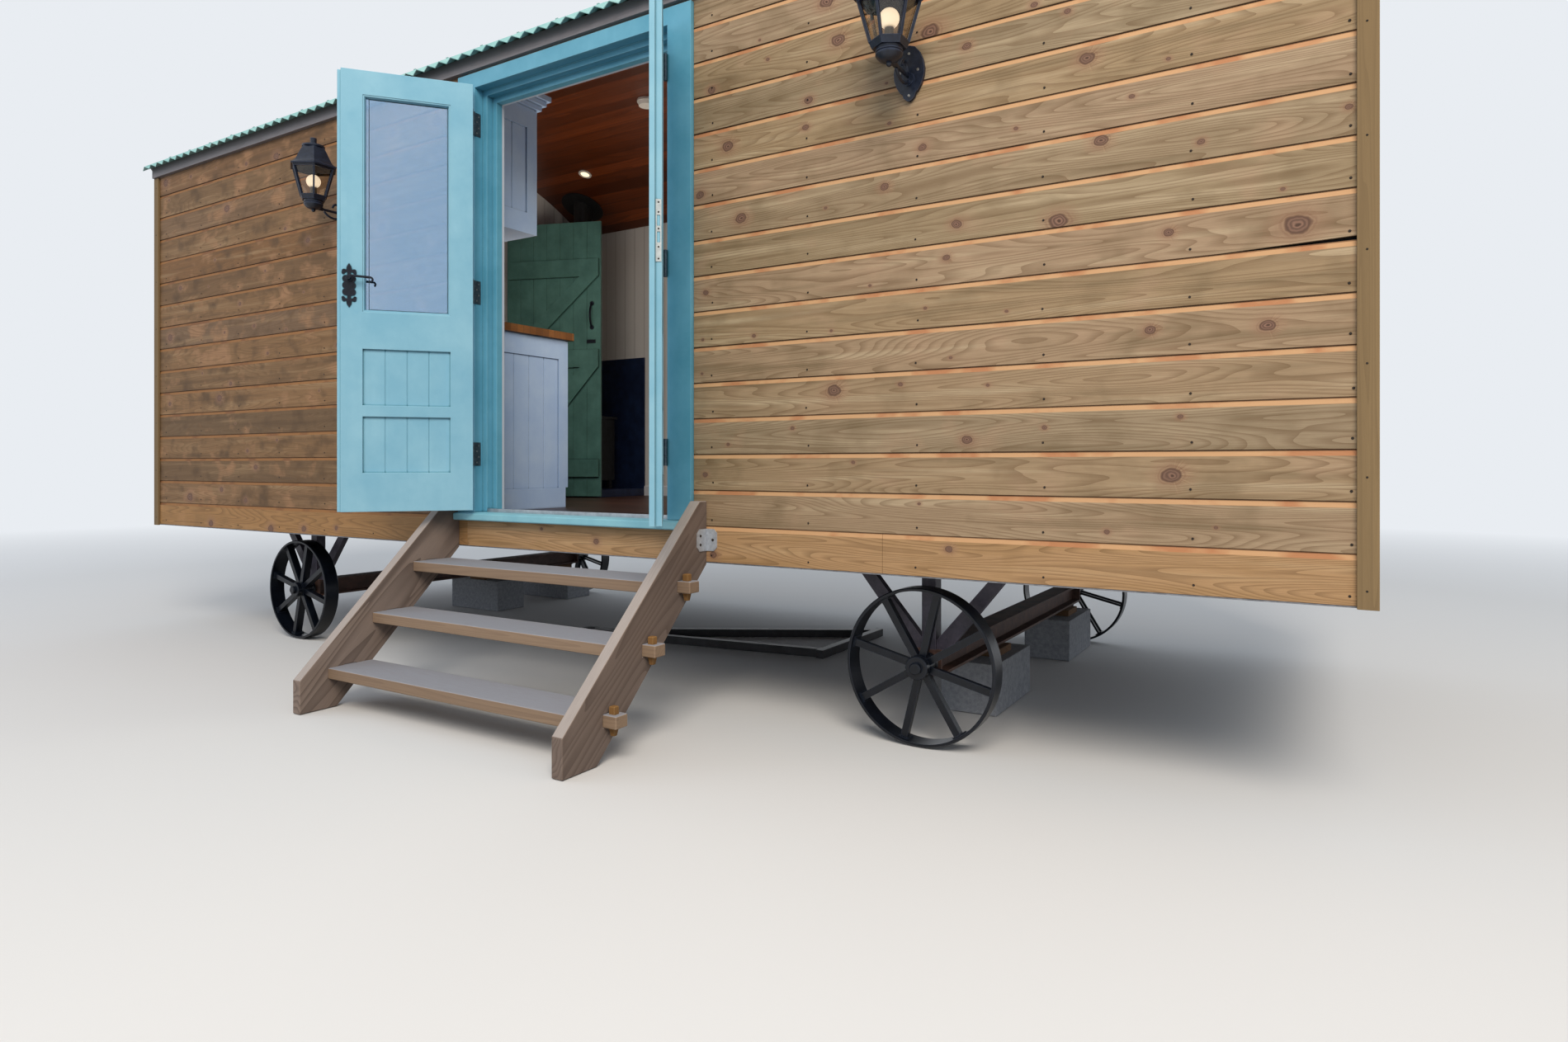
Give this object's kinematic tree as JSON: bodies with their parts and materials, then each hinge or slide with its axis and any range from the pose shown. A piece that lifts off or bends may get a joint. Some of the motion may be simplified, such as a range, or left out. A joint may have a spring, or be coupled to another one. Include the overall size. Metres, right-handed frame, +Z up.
{
  "type": "shepherds hut",
  "caption": "Timber shepherds hut on cast spoked wheels, with a curved corrugated roof, open glazed double doors, plank steps and wall lanterns.",
  "frame": {"origin": "on the ground, under the middle of the whole footprint: the hut with its roof overhangs and its front steps", "axes": "+X along the hut's length, to the right seen from the door side; +Y away from the door side, towards the back; +Z up"},
  "size_m": [6.156, 3.187, 3.42],
  "materials": {
    "chassis_paint": "brown-black paint, weathered",
    "axle_steel": "red-brown primer on rolled steel, weathered",
    "black_steel": "black paint on welded steel",
    "black_iron": "black paint on cast iron",
    "concrete": "plain grey concrete block",
    "packing_timber": "sawn softwood",
    "floor_boards": "red-brown boards",
    "cladding": "oiled softwood boards, knotty",
    "aluminium": "plain extruded aluminium",
    "weathered_board": "grey-brown weathered board",
    "roof_timber": "softwood",
    "roof_sheet": "pale green coated corrugated steel",
    "ceiling_boards": "varnished brown boards",
    "door_paint": "duck-egg paint on timber",
    "hinge_steel": "dark bronzed steel",
    "glass": "clear double glazing",
    "black_ironmongery": "matt black",
    "brass": "satin brass",
    "step_timber": "weathered sawn planks",
    "galvanised": "galvanised sheet",
    "lantern_iron": "blue-black paint",
    "bulb": "warm lit globe",
    "partition_paint": "white painted boards",
    "inner_door_paint": "dark green paint on boards",
    "cupboard_paint": "white paint on boards",
    "worktop": "oiled block hardwood",
    "hearth_slate": "dark blue-grey slate",
    "stove_iron": "black stove enamel",
    "fitting_plastic": "white"
  },
  "bodies": {
    "hut": {"chassis": "chassis_paint", "axle_beams": "axle_steel", "axle_stands": "black_steel", "drawbar": "black_steel", "block_piers": "concrete", "timber_packers": "packing_timber", "floor_deck": "floor_boards", "front_wall_left": "cladding", "front_wall_right": "cladding", "front_wall_over_door": "cladding", "front_wall_under_door": "cladding", "back_wall": "cladding", "left_end_wall": "cladding", "right_end_wall": "cladding", "corner_boards": "cladding", "drip_strips": "aluminium", "fascias": "weathered_board", "roof_deck": "roof_timber", "roof_sheet": "roof_sheet", "ceiling": "ceiling_boards", "door_frame": "door_paint", "door_sill": "door_paint", "threshold": "aluminium", "door_hinges": "hinge_steel", "step_stringers": "step_timber", "step_treads": "step_timber", "step_pegs": "step_timber", "step_brackets": "galvanised", "lantern_brackets": "lantern_iron", "lantern_frames": "lantern_iron", "lantern_panes": "glass", "lantern_bulbs": "bulb", "partition": "partition_paint", "cupboards": "cupboard_paint", "worktop": "worktop", "skirting_boards": "cupboard_paint", "hearth": "hearth_slate", "stove": "stove_iron", "flue_pipe": "stove_iron", "ceiling_fittings": "fitting_plastic"},
    "front_left_wheel": {"wheel_front_left": "black_iron"},
    "front_right_wheel": {"wheel_front_right": "black_iron"},
    "back_left_wheel": {"wheel_back_left": "black_iron"},
    "back_right_wheel": {"wheel_back_right": "black_iron"},
    "left_door": {"left_leaf": "door_paint", "left_leaf_hinges": "hinge_steel", "left_leaf_glass": "glass", "left_lock_plates": "black_ironmongery"},
    "lever": {"lever_handle": "black_ironmongery"},
    "right_door": {"right_leaf": "door_paint", "right_leaf_hinges": "hinge_steel", "right_leaf_glass": "glass", "keep_plate": "brass"},
    "inner_door": {"inner_door": "inner_door_paint", "inner_door_fittings": "black_ironmongery"}
  },
  "joints": [
    {"name": "front_left_wheel_turn", "type": "hinge", "parent": "hut", "child": "front_left_wheel", "pos_m": [-1.787, -0.71799, 0.263], "axis": [0, 1, 0], "continuous": true},
    {"name": "front_right_wheel_turn", "type": "hinge", "parent": "hut", "child": "front_right_wheel", "pos_m": [1.787, -0.71799, 0.263], "axis": [0, 1, 0], "continuous": true},
    {"name": "back_left_wheel_turn", "type": "hinge", "parent": "hut", "child": "back_left_wheel", "pos_m": [-1.787, 1.36701, 0.263], "axis": [0, 1, 0], "continuous": true},
    {"name": "back_right_wheel_turn", "type": "hinge", "parent": "hut", "child": "back_right_wheel", "pos_m": [1.787, 1.36701, 0.263], "axis": [0, 1, 0], "continuous": true},
    {"name": "left_door_swing", "type": "hinge", "parent": "hut", "child": "left_door", "pos_m": [-0.203, -0.90249, 0.738], "axis": [0, 0, 1], "range_deg": [-8, 130]},
    {"name": "lever_turn", "type": "hinge", "parent": "left_door", "child": "lever", "pos_m": [-0.49118, -1.28793, 1.692], "axis": [0.766, -0.6428, 0], "range_deg": [-35, 0]},
    {"name": "right_door_swing", "type": "hinge", "parent": "hut", "child": "right_door", "pos_m": [0.847, -0.90249, 0.738], "axis": [0, 0, -1], "range_deg": [-8, 128.5]},
    {"name": "inner_door_swing", "type": "hinge", "parent": "hut", "child": "inner_door", "pos_m": [-1.792, 0.70538, 0.725], "axis": [0, 0, -1], "range_deg": [0, 109]}
  ]
}
